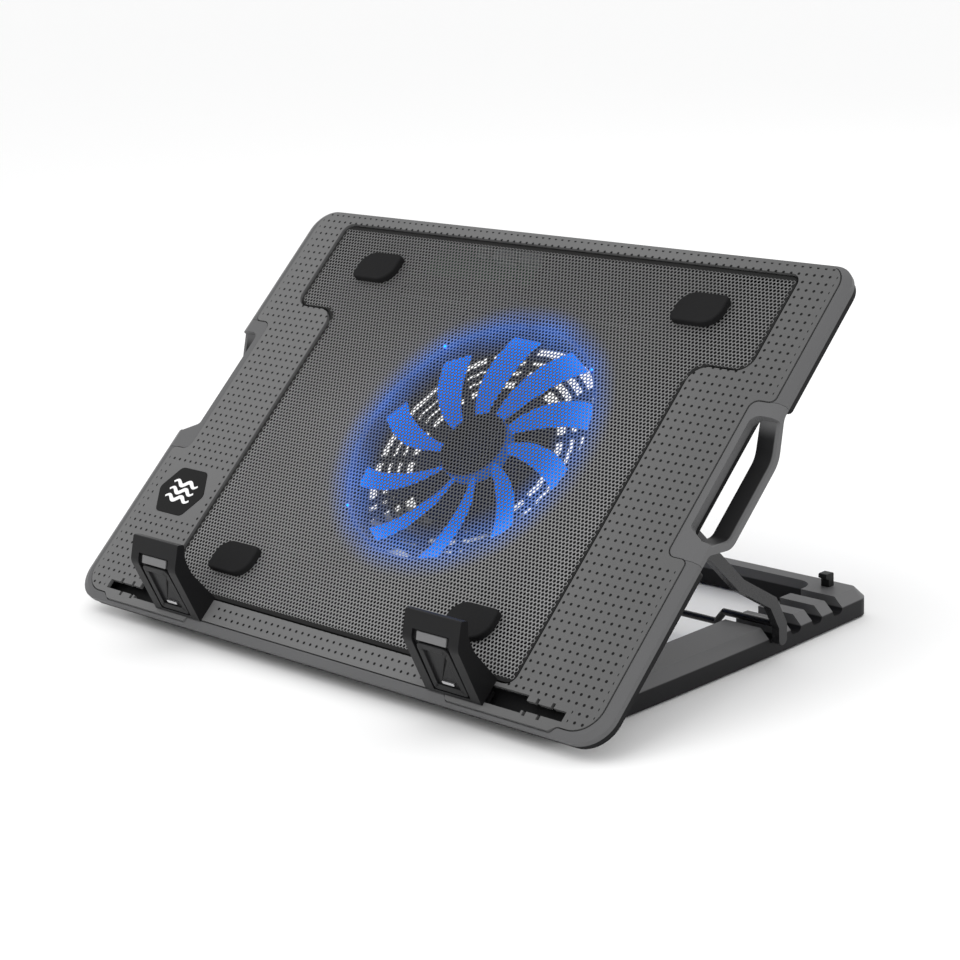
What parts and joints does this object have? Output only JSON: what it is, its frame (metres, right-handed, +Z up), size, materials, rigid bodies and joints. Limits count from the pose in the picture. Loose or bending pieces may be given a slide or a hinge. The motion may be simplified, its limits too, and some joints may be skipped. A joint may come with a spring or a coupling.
{
  "type": "laptop cooling pad",
  "caption": "Tilting laptop stand with a perforated metal top, a lit fan below it, side handles, sliding stoppers and a notched open base with a folding prop.",
  "frame": {"origin": "centre of the overall box, at table level, with the pad tilted in its steepest groove", "axes": "+X to the user's right along the pad's width, +Y away from the user, +Z up"},
  "size_m": [0.38, 0.2682, 0.1944],
  "materials": {
    "plate": "fine satin, dotted with small dimples",
    "rim": "satin",
    "mesh": "satin perforated sheet",
    "shell": "matte",
    "handle": "satin",
    "badge": "gloss black with a pale glyph",
    "pad_rubber": "matte",
    "foot_rubber": "matte",
    "screw": "blackened",
    "pin": "satin",
    "fan_frame": "matte",
    "bearing": "oiled sleeve",
    "coil": "wound copper, varnished",
    "fan_blade": "clear blue tinted, lit from the rim",
    "magnet": "bonded ferrite",
    "light_guide": "milky blue",
    "led": "clear",
    "wire": "sleeved",
    "board": "solder mask green",
    "socket_metal": "satin",
    "socket_plastic": "matte",
    "stopper": "satin",
    "base": "satin",
    "hook": "matte",
    "bail": "satin"
  },
  "bodies": {
    "base": {"base_frame": "base", "base_feet": "foot_rubber", "latch_hooks": "hook", "hinge_pins": "pin"},
    "tray": {"top_plate": "plate", "rim_frame": "rim", "mesh_panel": "mesh", "bottom_shell": "shell", "handle_left": "handle", "handle_right": "handle", "badge": "badge", "laptop_pads": "pad_rubber", "tray_feet": "foot_rubber", "shell_screws": "screw", "fan_screws": "screw", "bail_pins": "pin", "fan_frame": "fan_frame", "fan_bearing": "bearing", "fan_stator": "coil", "light_ring": "light_guide", "led_lamps": "led", "fan_wires": "wire", "control_case": "shell", "controller_board": "board", "usb_sockets": "socket_metal", "usb_tongues": "socket_plastic", "power_inlet": "socket_metal"},
    "prop": {"prop_bail": "bail"},
    "rotor": {"fan_rotor": "fan_blade", "fan_shaft": "pin", "magnet_ring": "magnet"},
    "stopper_left": {"stopper_left": "stopper"},
    "stopper_right": {"stopper_right": "stopper"},
    "switch": {"switch_slider": "socket_plastic"}
  },
  "joints": [
    {"name": "tray_tilt", "type": "hinge", "parent": "base", "child": "tray", "pos_m": [0, -0.09874, 0.01729], "axis": [1, 0, 0], "range_deg": [-40, 0]},
    {"name": "prop_fold", "type": "hinge", "parent": "tray", "child": "prop", "pos_m": [0, -0.02495, 0.0861], "axis": [1, 0, 0], "range_deg": [0, 80]},
    {"name": "fan_spin", "type": "hinge", "parent": "tray", "child": "rotor", "pos_m": [0.009, -0.00774, 0.09859], "axis": [0, -0.682, 0.7314], "continuous": true},
    {"name": "stopper_right_slide", "type": "slide", "parent": "tray", "child": "stopper_right", "axis": [1, 0, 0], "range_m": [0, 0.046]},
    {"name": "stopper_left_slide", "type": "slide", "parent": "tray", "child": "stopper_left", "axis": [-1, 0, 0], "range_m": [0, 0.046]},
    {"name": "switch_slide", "type": "slide", "parent": "tray", "child": "switch", "axis": [1, 0, 0], "range_m": [0, 0.003]}
  ],
  "couplings": [
    {"joint": "prop_fold", "follows": "tray_tilt", "ratio": -2}
  ]
}
